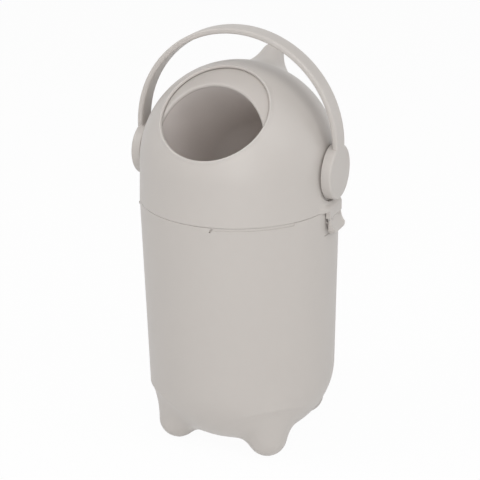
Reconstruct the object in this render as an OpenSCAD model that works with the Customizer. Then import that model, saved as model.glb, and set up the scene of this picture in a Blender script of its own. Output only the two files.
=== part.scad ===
// Nappy bin: a footed bucket, a domed lid, and a ball inside the dome that the carrying handle turns.
// Millimetres, +Z up, the floor at z = 0, the opening faces -Y.

/* [Bucket] */
// Outer diameter at the rim
bucket_d = 260; // [230:1:300]
// Height of the rim above the floor
bucket_h = 337.4; // [290:0.2:400]
// Wall thickness of the bucket
bucket_wall = 3; // [2.4:0.1:4]
// Draft of the side wall, in degrees
bucket_draft = 1; // [0.5:0.1:2]
// Radius of the rounding between side wall and base
corner_r = 96; // [80:1:100]
// Height of the base's underside above the floor
base_z = 6.2; // [5:0.2:12]

/* [Feet] */
// Distance of each foot's tip inwards from the rim
foot_inset = 37.2; // [36:0.2:39]
// Radius of the rounded foot tip
foot_tip_r = 26.5; // [24:0.5:28]
// Half angle of the foot's cone
foot_cone = 23; // [21:0.5:25]
// Lean of the foot's cone towards the bin's axis
foot_lean = 24.5; // [22:0.5:26]
// Radius of the concave flare between foot and base
foot_flare = 20; // [16:1:24]
// Wall thickness at the foot tip
foot_wall = 4.6; // [4.2:0.1:6]
// Diameter of the anti-slip pad
pad_d = 16; // [12:0.5:16]
// Thickness of the anti-slip pad
pad_t = 2.8; // [2:0.1:3.2]
// Depth of the pad's seat in the foot
pad_seat = 1.4; // [1:0.1:1.6]

/* [Lid] */
// Height of the handle axle above the rim
axle_rise = 47.6; // [44:0.2:60]
// Inset of the dome's radius from the rim's radius
dome_inset = 2; // [1:0.5:4]
// Wall thickness of the dome
dome_wall = 3; // [2.4:0.1:3.6]
// Diameter of the round opening
opening_d = 138.6; // [120:0.2:145]
// Elevation of the opening's axis above the horizontal
opening_tilt = 49.4; // [46:0.2:55]
// Radius of the opening's rolled edge
opening_lip = 2; // [1.6:0.1:2.2]
// Elevation of the horn's axis, at the back
horn_tilt = 45.3; // [40:0.1:50]
// Length of the horn beyond the dome
horn_len = 44; // [38:0.5:46]
// Least radius to which the horn's flare narrows
horn_neck_r = 12.4; // [11:0.2:14]
// Radius of the concave flare between the dome and the horn's tip
horn_flare = 68; // [60:1:72]

/* [Ball] */
// Gap between the dome's inside and the ball
ball_gap = 1; // [0.8:0.1:2]
// Wall thickness of the ball
ball_wall = 2.6; // [2:0.1:3.2]
// Diameter of the ball's mouth
mouth_d = 142; // [120:1:144]
// Elevation of the mouth's axis when the handle stands upright
mouth_tilt = 28.7; // [24:0.1:36]
// Radius of the mouth's rolled edge
mouth_lip = 3; // [2.6:0.1:3.4]
// Draft of the cup's wall, in degrees
cup_draft = 3; // [2:0.2:4]
// Wall thickness of the cup
cup_wall = 2.2; // [1.8:0.1:2.6]
// Space between the cup's end and the ball's wall
cup_gap = 5.8; // [4:0.1:12]
// Distance of the ball's flat pole from its centre plane, short of the ball's radius
pole_cut = 6; // [5:0.5:8]

/* [Handle] */
// Height of the arch's top above the dome
arch_rise = 45.9; // [40:0.1:62]
// Height above the axle at which the arch is widest
arch_widest = 32.6; // [20:0.2:38]
// Flattening of the arch's sides
arch_flat = 16.3; // [12:0.1:18]
// Thickness of the handle band
band_t = 7.5; // [6.4:0.1:9]
// Width of the handle band
band_w = 26.5; // [20:0.5:28]
// Radius of the band's edges
band_edge = 2.6; // [2:0.1:3]
// Diameter of the hub discs
hub_d = 70; // [66:1:72]
// Thickness of the hub discs
hub_t = 13.2; // [12:0.1:15]
// Radius of the hub disc's rounded rim
hub_edge = 3; // [2:0.1:4]
// Angle that the handle leans back from upright, mouth fully open
turn_back = 20.7; // [10:0.1:24]
// Angle that the handle turns forward from upright, mouth straight down
turn_forward = 118.7; // [100:0.1:120]

/* [Pivot] */
// Diameter of the handle's spigot
spigot_d = 22; // [20:0.5:24]
// Width across the spigot's drive flats
spigot_flat = 17; // [16:0.5:18]
// Wall thickness of the pivot bush
bush_wall = 2; // [1.6:0.1:2.4]
// Diameter of the dome's outer pivot seat
seat_d = 56; // [54:1:58]
// Radial clearance of a turning fit
run_gap = 0.05; // [0.03:0.01:0.1]
// Clearance between pieces that don't touch
fit_gap = 0.3; // [0.25:0.05:0.4]

/* [Side clips] */
// Width of each side clip
clip_w = 37.6; // [32:0.2:40]
// Length of the clip from its pin to its lower edge
clip_len = 18.4; // [16:0.2:20]
// Flare of the clip's finger lip
clip_flare = 5.4; // [4:0.1:6]
// Diameter of the hinge pin
clip_pin_d = 2; // [1.8:0.1:2.4]
// Height of the rim above the hinge pin
clip_drop = 11.6; // [10:0.2:13]

/* [Collar and ring] */
// Depth of the collar's plug below the rim
plug_h = 14.4; // [13:0.2:18]
// Number of screws that hold the collar
screw_count = 6; // [4:1:8]
// Height of the bag ring
ring_h = 21; // [16:1:26]
// Number of ribs that carry the bag ring
rib_count = 8; // [6:1:12]

/* [Hidden] */
$fn = 120;
eps = 0.01;
far = 400;

// Heights and radii that several pieces share
rim_r = bucket_d / 2;
axle_z = bucket_h + axle_rise;
dome_r = rim_r - dome_inset;
ball_r = dome_r - dome_wall - ball_gap;
pole_x = ball_r - pole_cut;
seat_sink = 1.6;
seat_x = dome_r - seat_sink;
hub_in = seat_x + 2 * fit_gap;
hub_face = hub_in + hub_t;
foot_reach = rim_r - foot_inset;
horn_reach = dome_r + horn_len;
arch_h = dome_r + arch_rise;
function bore_r(z) = rim_r - bucket_wall + z * tan(bucket_draft);
function ball_slice(z) = sqrt(ball_r * ball_r - z * z);

// Colours
shell_grey = [0.75, 0.73, 0.71];
seal_grey = [0.42, 0.41, 0.40];
steel = [0.62, 0.63, 0.65];
pin_white = [0.86, 0.86, 0.84];

// ---- general shapes ----

module mirror_pair() {
    children();
    mirror([1, 0, 0]) children();
}

// A straight rod along X, from x0 to x1
module x_rod(r, x0, x1) {
    translate([x0, 0, 0]) rotate([0, 90, 0]) cylinder(r = r, h = x1 - x0);
}

// A rod along Y, centred, at x and z
module y_rod(r, len, x, z) {
    translate([x, 0, z]) rotate([90, 0, 0]) cylinder(r = r, h = len, center = true, $fn = 48);
}

// A slab of the whole model between two X planes
module x_slab(x0, x1) {
    translate([x0, -far / 2, -far / 2]) cube([x1 - x0, far, far]);
}

// A rounded rectangle, centred
module round_rect(w, h, r) {
    square([w - 2 * r, h], center = true);
    square([w, h - 2 * r], center = true);
    for (sx = [-1, 1], sy = [-1, 1])
        translate([sx * (w / 2 - r), sy * (h / 2 - r)]) circle(r, $fn = 48);
}

// Places its children at the lid's own origin, the middle of the axle
module at_axle() {
    translate([0, 0, axle_z]) children();
}

// ---- bucket ----

corner_z = base_z + corner_r;
corner_x = rim_r - (bucket_h - corner_z) * tan(bucket_draft) - corner_r / cos(bucket_draft);

// Half outline of the tub, drawn in by a wall thickness
module tub_outline(inset) {
    r = corner_r - inset;
    intersection() {
        union() {
            translate([corner_x, corner_z]) circle(r, $fn = 240);
            polygon([
                [0, base_z + inset],
                [corner_x, base_z + inset],
                [corner_x + r * cos(bucket_draft), corner_z - r * sin(bucket_draft)],
                [rim_r - inset / cos(bucket_draft), bucket_h],
                [0, bucket_h]
            ]);
        }
        square([rim_r, bucket_h]);
    }
}

// Half outline of a foot about its own axis: round tip, cone and a concave flare towards the base
foot_cone_top = 25.8;
foot_flare_end = 70;
foot_bite = 0.1;
module foot_outline(inset) {
    r = foot_tip_r - inset;
    low_r = r * cos(foot_cone) - foot_bite;
    low = -r * sin(foot_cone);
    high = foot_cone_top + inset * sin(foot_cone);
    high_r = low_r + (high - low) * tan(foot_cone);
    flare = foot_flare + inset;
    flare_r = high_r + flare * cos(foot_cone);
    flare_z = high - flare * sin(foot_cone);
    end_r = flare_r - flare * cos(foot_flare_end);
    end_z = flare_z + flare * sin(foot_flare_end);
    intersection() {
        circle(r, $fn = 120);
        translate([0, -r]) square([r, 2 * r]);
    }
    difference() {
        polygon([
            [0, low],
            [low_r, low],
            [high_r, high],
            [end_r, end_z],
            [end_r, end_z + 12],
            [0, end_z + 12]
        ]);
        translate([flare_r, flare_z]) circle(flare, $fn = 120);
    }
}

// One leaning foot, at +X before it is turned to its place
module foot_form(inset) {
    translate([foot_reach, 0, foot_tip_r]) rotate([0, -foot_lean, 0])
        rotate_extrude() foot_outline(inset);
}

module on_feet() {
    for (a = [45:90:315]) rotate([0, 0, a]) children();
}

foot_flat = pad_t - pad_seat;

// Where each side clip lies against the bucket
recess_floor = rim_r - 1.3;
recess_w = clip_w + 5.2;
recess_h = clip_drop + clip_len + 3.2;
keeper_x = rim_r + 0.6;
keeper_top = clip_drop + 4.4;
keeper_h = 2.7;
keeper_w = 30;

// Sunk panel behind each side clip
module clip_recess() {
    for (s = [0, 180]) rotate([0, 0, s]) translate([0, 0, bucket_h - recess_h])
        intersection() {
            difference() {
                cylinder(r = rim_r + 5, h = recess_h + eps);
                translate([0, 0, -eps]) cylinder(r = recess_floor, h = recess_h + 1);
            }
            translate([rim_r / 2, -recess_w / 2, -eps]) cube([rim_r, recess_w, recess_h + 1]);
        }
}

// Ledge under which the clip's nose sits
module keepers() {
    for (s = [0, 180]) rotate([0, 0, s]) translate([0, 0, bucket_h - keeper_top - keeper_h])
        intersection() {
            difference() {
                cylinder(r = keeper_x, h = keeper_h);
                translate([0, 0, -1]) cylinder(r = recess_floor - 0.8, h = keeper_h + 2);
            }
            translate([rim_r / 2, -keeper_w / 2, -1]) cube([rim_r, keeper_w, keeper_h + 2]);
        }
}

// Shallow pry step under the lid's edge at the front, with a slanted end
pry_from = 11;
pry_angle = 45;
pry_h = 3.4;
pry_depth = 0.9;
module pry_step() {
    translate([0, 0, bucket_h - pry_h]) rotate([0, 0, pry_from - 90])
        rotate_extrude(angle = pry_angle)
            translate([rim_r - pry_depth, 0]) square([pry_depth + 2, pry_h + 1]);
    rotate([0, 0, pry_from - 90]) translate([rim_r, 0, bucket_h - pry_h]) rotate([30, 0, 0])
        cube([2 * pry_depth, 1.2, 5.6], center = true);
}

// Ribs inside the wall that carry the bag ring
ring_top = plug_h + 0.5;
rib_top = bucket_h - ring_top - ring_h - fit_gap;
rib_h = 34;
rib_t = 3;
rib_in = 4.6;
module ribs() {
    wall_in = bore_r(rib_top - bucket_h);
    for (k = [0:rib_count - 1]) rotate([0, 0, (k + 0.5) * 360 / rib_count])
        rotate([90, 0, 0]) linear_extrude(rib_t, center = true)
            polygon([
                [wall_in - rib_in, rib_top],
                [wall_in + 1, rib_top],
                [wall_in + 1 - rib_h * tan(bucket_draft), rib_top - rib_h]
            ]);
}

module bucket() {
    color(shell_grey) difference() {
        union() {
            difference() {
                union() {
                    rotate_extrude() tub_outline(0);
                    on_feet() foot_form(0);
                }
                rotate_extrude() tub_outline(bucket_wall);
                on_feet() foot_form(foot_wall);
                translate([0, 0, bucket_h - eps]) cylinder(r = far / 2, h = far);
                clip_recess();
                pry_step();
            }
            keepers();
            ribs();
        }
        translate([0, 0, foot_flat - far]) cylinder(r = far / 2, h = far);
        on_feet() translate([foot_reach, 0, -1]) cylinder(d = pad_d + 2 * run_gap, h = pad_t + 1);
    }
}

module foot_pad(angle) {
    color(seal_grey) rotate([0, 0, angle]) translate([foot_reach, 0, 0])
        rotate_extrude() {
            square([pad_d / 2 - 1, pad_t]);
            translate([0, 1]) square([pad_d / 2, pad_t - 1]);
            translate([pad_d / 2 - 1, 1]) circle(1, $fn = 32);
        }
}

// Loose ring that the bag's mouth is folded over
ring_t = 2;
ring_flange = 6;
ring_grip = 34;
ring_grip_h = 9;
module bag_ring() {
    ring_r = bore_r(-ring_top - ring_h) - 2 * fit_gap;
    z0 = bucket_h - ring_top - ring_h;
    color(shell_grey) difference() {
        rotate_extrude() {
            translate([ring_r - ring_t, z0]) square([ring_t, ring_h]);
            translate([ring_r - ring_flange, z0 + ring_h - ring_t]) square([ring_flange, ring_t]);
            translate([ring_r - ring_flange, z0 + ring_h - ring_t / 2]) circle(ring_t / 2, $fn = 32);
        }
        for (s = [0, 180]) rotate([0, 0, s])
            translate([0, -ring_grip / 2, z0 + 4])
                cube([far, ring_grip, ring_grip_h]);
    }
}

// ---- lid ----

// Half outline of the dome and its skirt
dome_blend = 4;
module dome_outline(inset, below) {
    r = dome_r - inset;
    slope = dome_inset / axle_rise;
    intersection() {
        circle(r, $fn = 240);
        square([r, r]);
    }
    polygon([
        [0, r * sin(dome_blend)],
        [r * cos(dome_blend), r * sin(dome_blend)],
        [r, 0],
        [r + (axle_rise + below) * slope, -axle_rise - below],
        [0, -axle_rise - below]
    ]);
}

// Half outline of the horn: a flare that runs from the dome into a round tip. Both ends of the
// flare overlap what they meet by horn_bite.
horn_bite = 0.2;
module horn_outline(inset) {
    side = horn_neck_r + horn_flare;
    span = dome_r + horn_flare - horn_bite;
    rise = sqrt(span * span - side * side);
    past = rise - horn_reach;
    tip_r = (side * side + past * past - horn_flare * horn_flare) / (2 * (horn_flare - past));
    tip_z = horn_reach - tip_r;
    toward = [side, rise - tip_z] / (horn_flare + tip_r);
    difference() {
        polygon([
            [0, dome_r - 2 * dome_wall],
            [side * (dome_r - inset) / span, rise * (dome_r - inset) / span],
            [side, rise],
            [(tip_r - inset) * toward[0], tip_z + (tip_r - inset) * toward[1]],
            [0, tip_z]
        ]);
        translate([side, rise]) circle(horn_flare + inset, $fn = 180);
    }
    translate([0, tip_z]) intersection() {
        circle(tip_r + horn_bite / 2 - inset, $fn = 96);
        translate([0, -tip_r]) square([2 * tip_r, 3 * tip_r]);
    }
}

module at_horn() {
    rotate([horn_tilt - 90, 0, 0]) children();
}

module at_opening() {
    rotate([90 - opening_tilt, 0, 0]) children();
}

bush_r = spigot_d / 2 + run_gap;
bush_out = bush_r + bush_wall;
flange_t = 1.5;
flange_r = bush_out + 4;
boss_r = bush_out + 5;
boss_in = pole_x + 1;
stop_pin_r = 2;
stop_ring = (flange_r + seat_d / 2) / 2 + 0.6;
stop_len = 2.8;
stop_at = -41;

// Bearing boss and stop pin on the right side of the dome
module pivot_boss() {
    x_rod(boss_r, boss_in, seat_x);
    rotate([stop_at, 0, 0]) translate([0, stop_ring, 0])
        x_rod(stop_pin_r, seat_x - 1, seat_x + stop_len);
}

knuckle_r = clip_pin_d / 2 + 1;
pin_x = keeper_x + knuckle_r;
pin_z = -axle_rise - clip_drop;
bracket_x = pin_x + knuckle_r + 0.4;
bracket_low = pin_z + knuckle_r + fit_gap;
bracket_round = 6.5;
lug_from = 9;
lug_to = 13;

// Hinge bracket of the right side clip, with two lugs for the pin
module clip_bracket() {
    skirt_in = rim_r - dome_wall / 2;
    rotate([90, 0, 0]) linear_extrude(clip_w, center = true) {
        translate([skirt_in, -axle_rise + fit_gap])
            square([bracket_x - skirt_in, 2]);
        translate([recess_floor + 0.5, bracket_low])
            square([bracket_x - recess_floor - 0.5, -axle_rise - bracket_low + 1]);
        intersection() {
            translate([bracket_x - bracket_round, -axle_rise + 2]) circle(bracket_round, $fn = 64);
            translate([skirt_in, -axle_rise + 1]) square([far, far]);
        }
    }
    for (s = [-1, 1]) translate([0, s * (lug_from + lug_to) / 2, 0]) {
        y_rod(knuckle_r, lug_to - lug_from, pin_x, pin_z);
        translate([pin_x - knuckle_r, -(lug_to - lug_from) / 2, pin_z])
            cube([1.6 * knuckle_r, lug_to - lug_from, knuckle_r + 1]);
    }
}

plate_top = 3;
plate_t = 2.4;
screw_ring = ball_slice(axle_rise - 6) + 4;
screw_boss_r = 3.2;
screw_pilot = 1.4;
screw_head_r = 2.9;
screw_head_h = 1.5;
screw_len = 11;
web_t = 3;
screw_boss_low = -axle_rise - plate_top + fit_gap;
screw_boss_top = -sqrt(ball_r * ball_r - pow(screw_ring - screw_boss_r - 0.8, 2));

module on_screws() {
    for (k = [0:screw_count - 1]) rotate([0, 0, (k + 0.5) * 360 / screw_count]) children();
}

// Screw posts inside the skirt, each on a web from the wall
module screw_posts() {
    post_h = screw_boss_top - screw_boss_low;
    on_screws() translate([0, 0, screw_boss_low]) {
        translate([screw_ring, 0, 0]) cylinder(r = screw_boss_r, h = post_h, $fn = 48);
        translate([screw_ring, -web_t / 2, plate_top + 1])
            cube([rim_r - dome_wall / 2 - screw_ring, web_t, post_h - plate_top - 1]);
    }
}

seal_ring = opening_d / 2 + 8;
seal_half = 2.6;

// Ring of the dome's inner face, swept round the opening's axis
module opening_band(r_in, r_out, half) {
    rotate_extrude() intersection() {
        difference() {
            circle(r_out, $fn = 240);
            circle(r_in, $fn = 240);
        }
        translate([seal_ring - half, 0]) square([2 * half, far]);
    }
}

module lid_dome() {
    lip_mid = dome_r - dome_wall / 2;
    lip_ring = opening_d / 2 + opening_lip;
    color(shell_grey) at_axle() difference() {
        union() {
            difference() {
                union() {
                    rotate_extrude() dome_outline(0, -fit_gap);
                    at_horn() rotate_extrude() horn_outline(0);
                    mirror_pair() x_rod(seat_d / 2, dome_r - 20, seat_x);
                }
                difference() {
                    rotate_extrude() dome_outline(dome_wall, 1);
                    mirror_pair() x_rod(hub_d / 2 + dome_wall, seat_x - dome_wall - 0.4, far);
                }
                at_horn() rotate_extrude() horn_outline(dome_wall);
                at_opening() cylinder(r = lip_ring, h = far);
                mirror_pair() x_rod(hub_d / 2 + 1, seat_x, far);
            }
            at_opening() rotate_extrude()
                translate([lip_ring, sqrt(lip_mid * lip_mid - lip_ring * lip_ring)])
                    circle(opening_lip, $fn = 48);
            mirror_pair() {
                pivot_boss();
                clip_bracket();
            }
            screw_posts();
        }
        at_opening() opening_band(ball_r, ball_r + ball_gap + 1.2, seal_half);
        mirror_pair() {
            x_rod(bush_out + run_gap, 0, far);
            x_rod(flange_r + run_gap, seat_x - flange_t + fit_gap, far);
            y_rod(clip_pin_d / 2 + run_gap, clip_w, pin_x, pin_z);
        }
        on_screws() translate([screw_ring, 0, screw_boss_low - 1])
            cylinder(r = screw_pilot, h = screw_len - plate_t + 1, $fn = 32);
    }
}

module mouth_seal() {
    color(seal_grey) at_axle() at_opening()
        opening_band(ball_r + fit_gap, ball_r + ball_gap + 1.2 - run_gap, seal_half - run_gap);
}

module pivot_bush() {
    at_axle() difference() {
        union() {
            x_rod(bush_out, boss_in, seat_x);
            x_rod(flange_r, seat_x - flange_t + fit_gap, seat_x + fit_gap);
        }
        x_rod(bush_r, 0, far);
    }
}

module clip_pin() {
    color(steel) at_axle() y_rod(clip_pin_d / 2, clip_w - 0.6, pin_x, pin_z);
}

// ---- collar under the lid ----

collar_r = bore_r(-plug_h) - 0.4;
collar_wall = 2.4;
plate_z = -axle_rise - plate_top;
seal_slice = ball_slice(-plate_z + plate_t);
collar_in = seal_slice + 3.6;
gasket_z = -axle_rise - 10.6;
gasket_h = 3;
gasket_in = 1.6;
gasket_proud = 0.15;

module inner_collar() {
    color(shell_grey) at_axle() difference() {
        rotate_extrude() {
            translate([collar_in, plate_z - plate_t])
                square([collar_r - collar_in, plate_t]);
            translate([collar_r - collar_wall, -axle_rise - plug_h])
                square([collar_wall, plug_h + 5]);
        }
        rotate_extrude() translate([collar_r - gasket_in, gasket_z])
            square([gasket_in + 1, gasket_h]);
        on_screws() translate([screw_ring, 0, plate_z - plate_t]) {
            translate([0, 0, -1]) cylinder(r = screw_pilot + 0.2, h = 2 * plate_t, $fn = 32);
            screw_head(run_gap);
        }
        on_screws() translate([screw_ring, 0, plate_z + eps]) {
            cylinder(r = screw_boss_r + fit_gap, h = far, $fn = 48);
            translate([0, -web_t / 2 - fit_gap, 0]) cube([far, web_t + 2 * fit_gap, far]);
        }
    }
}

module collar_seal() {
    lip = seal_slice + fit_gap;
    low = plate_z - plate_t - 1.2;
    color(seal_grey) at_axle() {
        rotate_extrude() difference() {
            translate([collar_in - 1.8, low]) square([3.1, plate_t + 2.2]);
            translate([collar_in - run_gap, plate_z - plate_t - run_gap])
                square([10, plate_t + 2 * run_gap]);
        }
        rotate_extrude() polygon([
            [collar_in - 1, low],
            [lip - 0.2, low],
            [lip + 0.7, low + 1.4],
            [collar_in - 1, plate_z - 0.4]
        ]);
    }
}

module rim_gasket() {
    bead_r = gasket_h / 2 - run_gap;
    color(seal_grey) at_axle() {
        rotate_extrude() translate([collar_r - gasket_in + run_gap, gasket_z + run_gap])
            square([gasket_in - run_gap, gasket_h - 2 * run_gap]);
        rotate_extrude() translate([collar_r + gasket_proud - bead_r, gasket_z + gasket_h / 2])
            intersection() {
                circle(bead_r, $fn = 48);
                translate([0, -bead_r]) square(2 * bead_r);
            }
    }
}

// Countersunk head, its flat face at z = 0
module screw_head(gap) {
    translate([0, 0, -eps])
        cylinder(r1 = screw_head_r + gap, r2 = screw_pilot + gap, h = screw_head_h + eps, $fn = 32);
}

module collar_screws() {
    color(steel) at_axle() on_screws() translate([screw_ring, 0, plate_z - plate_t]) {
        difference() {
            union() {
                screw_head(0);
                cylinder(r = screw_pilot - run_gap, h = screw_len, $fn = 32);
            }
            for (a = [0, 90]) rotate([0, 0, a]) translate([-1.6, -0.35, -1]) cube([3.2, 0.7, 1.8]);
        }
    }
}

// ---- ball ----

mouth_ring = mouth_d / 2 + mouth_lip;
mouth_z = sqrt(pow(ball_r - mouth_lip, 2) - mouth_ring * mouth_ring);
cup_end = ball_r - ball_wall - cup_gap - cup_wall;
cup_low = (mouth_d / 2 - mouth_z * tan(cup_draft) - cup_end) / (1 - tan(cup_draft));
cup_r = cup_low + cup_end;
neck_z = mouth_z - 10;
sleeve_t = 2.2;
sleeve_lap = 6;
ear_r = spigot_d / 2 + 7;
ear_in = pole_x - 5.8;

module at_mouth() {
    rotate([90 - mouth_tilt, 0, 0]) children();
}

// Ball with its two flat poles
module ball_body(r, x) {
    intersection() {
        sphere(r, $fn = 180);
        x_slab(-x, x);
    }
}

module ball_skin() {
    difference() {
        ball_body(ball_r, pole_x);
        ball_body(ball_r - ball_wall, pole_x - 3);
    }
}

// The half space in front of (1) or behind (-1) the ball's joint plane
module half(side) {
    translate([-far / 2, -far / 2, side > 0 ? 0 : -far]) cube([far, far, far]);
}

// Half outline of the cup's outside (grow = cup_wall) or inside (grow = 0)
module cup_outline(grow, top) {
    intersection() {
        union() {
            translate([0, cup_low]) circle(cup_r + grow, $fn = 180);
            polygon([
                [0, cup_low],
                [cup_r + grow, cup_low],
                [mouth_d / 2 + grow, mouth_z],
                [mouth_d / 2 + grow, top],
                [0, top]
            ]);
        }
        translate([0, -far / 2]) square([far / 2, far]);
    }
}

// Half section of the cup's wall
module cup_section() {
    difference() {
        cup_outline(cup_wall, mouth_z);
        cup_outline(0, mouth_z + 1);
    }
}

module drive_hole() {
    intersection() {
        x_rod(spigot_d / 2 + run_gap, ear_in - 1, pole_x + 1);
        translate([0, -spigot_flat / 2 - run_gap, -far / 2])
            cube([far, spigot_flat + 2 * run_gap, far]);
    }
}

module ball_front() {
    color(shell_grey) at_axle() difference() {
        union() {
            difference() {
                union() {
                    at_mouth() intersection() {
                        ball_skin();
                        half(1);
                    }
                    mirror_pair() x_rod(ear_r, ear_in, pole_x);
                }
                at_mouth() cylinder(r = mouth_ring, h = far);
            }
            at_mouth() rotate_extrude() {
                translate([mouth_ring, mouth_z]) circle(mouth_lip, $fn = 64);
                intersection() {
                    cup_section();
                    translate([0, neck_z]) square(far);
                }
            }
        }
        mirror_pair() drive_hole();
    }
}

// The cup butts against the neck inside the mouth, and its sleeve laps over the neck
module nappy_cup() {
    sleeve_r = mouth_d / 2 + cup_wall + run_gap;
    color(shell_grey) at_axle() at_mouth() union() {
        rotate_extrude() difference() {
            cup_section();
            translate([0, neck_z]) square(far);
        }
        rotate_extrude() translate([sleeve_r - 1, neck_z - sleeve_t - 1])
            square([sleeve_t + 1, sleeve_t + 1]);
        rotate_extrude() translate([sleeve_r, neck_z - sleeve_t])
            square([sleeve_t, sleeve_t + sleeve_lap]);
    }
}

tongue_t = 2;
tongue_h = 4;
module ball_back() {
    tongue_r = sqrt(pow(ball_r - ball_wall, 2) - tongue_h * tongue_h) - run_gap;
    color(shell_grey) at_axle() difference() {
        at_mouth() union() {
            intersection() {
                ball_skin();
                half(-1);
            }
            intersection() {
                rotate_extrude() {
                    translate([tongue_r - tongue_t, -2 * tongue_h]) square([tongue_t, 3 * tongue_h]);
                    translate([tongue_r - tongue_t, -2 * tongue_h])
                        square([tongue_t + 1, 2 * tongue_h - fit_gap]);
                }
                x_slab(-pole_x + 3 + fit_gap, pole_x - 3 - fit_gap);
            }
        }
        mirror_pair() x_rod(ear_r + fit_gap, ear_in - 1, far);
    }
}

// ---- handle ----

groove_r = spigot_d / 2 - 3.5;
retainer_t = 1.2;
groove_in = ear_in - fit_gap - retainer_t - 0.1;
spigot_end = groove_in - 3.6;
arch_half_w = hub_face + 0.4;
side_h = arch_h - arch_widest;
side_r = side_h + arch_flat;
side_x = arch_half_w - side_r;
top_r = (side_r * side_r - side_x * side_x - side_h * side_h) / (2 * arch_flat);
top_z = arch_h - top_r;
join_angle = atan2(top_z - arch_widest, -side_x);
join_lap = 0.3;
leg_angle = asin(arch_widest / side_r);

// Cross-section of the band, its outer face at radius r
module band_section(r) {
    translate([r - band_t / 2, 0]) round_rect(band_t, band_w, band_edge);
}

module arch() {
    translate([0, 0, top_z]) rotate([90, 0, 0]) rotate([0, 0, join_angle - join_lap])
        rotate_extrude(angle = 180 - 2 * (join_angle - join_lap), $fn = 180) band_section(top_r);
    mirror_pair() translate([side_x, 0, arch_widest]) rotate([90, 0, 0])
        rotate([0, 0, -leg_angle])
            rotate_extrude(angle = join_angle + leg_angle, $fn = 180) band_section(side_r);
}

// Hub disc with a rounded outer rim, its axis along X
module hub() {
    rotate([0, 90, 0]) rotate_extrude() {
        translate([0, hub_in]) square([hub_d / 2, hub_t - hub_edge]);
        translate([0, hub_in]) square([hub_d / 2 - hub_edge, hub_t]);
        translate([hub_d / 2 - hub_edge, hub_face - hub_edge]) circle(hub_edge, $fn = 48);
    }
}

// Drive spigot: round in the bush, flatted in the ball, grooved for the retaining clip
module spigot() {
    round_end = pole_x + fit_gap;
    x_rod(spigot_d / 2, round_end, hub_in + 1);
    intersection() {
        difference() {
            x_rod(spigot_d / 2, spigot_end, round_end + 1);
            difference() {
                x_rod(spigot_d, groove_in, groove_in + retainer_t + 0.2);
                x_rod(groove_r, 0, far);
            }
        }
        translate([0, -spigot_flat / 2, -far / 2]) cube([far, spigot_flat, far]);
    }
}

// Curved slot in the hub's inner face that runs over the dome's stop pin
module stop_slot() {
    slack = 0.6;
    r = stop_pin_r + slack;
    rotate([0, 90, 0]) translate([0, 0, hub_in - 1]) {
        // angles run from +Y towards +Z about X
        for (a = [stop_at - turn_forward, stop_at + turn_back])
            rotate([0, 0, a + 90]) translate([stop_ring, 0, 0]) cylinder(r = r, h = stop_len + 1.6);
        rotate([0, 0, stop_at - turn_forward + 90])
            rotate_extrude(angle = turn_forward + turn_back)
                translate([stop_ring - r, 0]) square([2 * r, stop_len + 1.6]);
    }
}

module handle() {
    color(shell_grey) at_axle() {
        intersection() {
            difference() {
                union() {
                    arch();
                    mirror_pair() hub();
                }
                mirror_pair() {
                    x_rod(hub_d / 2 - 4, 0, hub_in);
                    stop_slot();
                }
            }
            x_slab(-hub_face, hub_face);
        }
        mirror_pair() spigot();
    }
}

module retaining_clip() {
    color(steel) at_axle() translate([groove_in + 0.1, 0, 0]) difference() {
        x_rod(groove_r + 3.4, 0, retainer_t);
        x_rod(groove_r + run_gap, -1, retainer_t + 1);
        translate([-1, 0, -groove_r * 0.75]) cube([retainer_t + 2, far, groove_r * 1.5]);
    }
}

// ---- side clips ----

clip_round = 5;
clip_t = 2.4;
nose_x = keeper_x + fit_gap;
nose_top = pin_z - 4.4 - keeper_h - fit_gap - 0.1;

// Flared plate with a hollow face and a rounded finger lip
hollow_r = 38;
lip_r = 1.2;
module plate_section() {
    low = pin_z - clip_len;
    face = pin_x + knuckle_r;
    drop = clip_len - 2 * lip_r;
    chord = sqrt(drop * drop + clip_flare * clip_flare);
    back_off = sqrt(hollow_r * hollow_r - chord * chord / 4) / chord;
    difference() {
        polygon([
            [face, pin_z],
            [face + clip_flare, low + 2 * lip_r],
            [face + clip_flare - lip_r, low],
            [face + clip_flare - clip_t - 0.6, low + lip_r],
            [face - clip_t, pin_z]
        ]);
        translate([face + clip_flare / 2 + drop * back_off, pin_z - drop / 2 + clip_flare * back_off])
            circle(hollow_r, $fn = 180);
    }
}

// Nose on the clip's inner face, under the bucket's keeper
module nose_section() {
    face = pin_x + knuckle_r;
    polygon([
        [nose_x, nose_top],
        [face, nose_top],
        [face + 1.2, nose_top - 4],
        [nose_x + 1.6, nose_top - 4],
        [nose_x, nose_top - 2.4]
    ]);
}

// Outline of the clip seen from the side: square above, round corners below
module clip_outline() {
    low = pin_z - clip_len;
    half_w = clip_w / 2;
    translate([-half_w, low + clip_round]) square([clip_w, clip_len + knuckle_r]);
    translate([clip_round - half_w, low]) square([clip_w - 2 * clip_round, clip_len]);
    for (s = [-1, 1])
        translate([s * (half_w - clip_round), low + clip_round]) circle(clip_round, $fn = 64);
}

module clip_long(len) {
    rotate([90, 0, 0]) linear_extrude(len, center = true) children();
}

module clip() {
    lip_at = pin_x + knuckle_r + clip_flare - 1.1 * lip_r;
    color(shell_grey) at_axle() difference() {
        union() {
            y_rod(knuckle_r, clip_w, pin_x, pin_z);
            intersection() {
                clip_long(clip_w) plate_section();
                rotate([90, 0, 90]) linear_extrude(far) clip_outline();
            }
            y_rod(lip_r, clip_w - 2 * clip_round, lip_at, pin_z - clip_len + lip_r);
            clip_long(keeper_w - 2) nose_section();
        }
        y_rod(clip_pin_d / 2 + run_gap, clip_w + 2, pin_x, pin_z);
        for (s = [-1, 1]) translate([0, s * (lug_from + lug_to) / 2, 0])
            y_rod(knuckle_r + fit_gap, lug_to - lug_from + 2 * fit_gap, pin_x, pin_z);
    }
}

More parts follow.
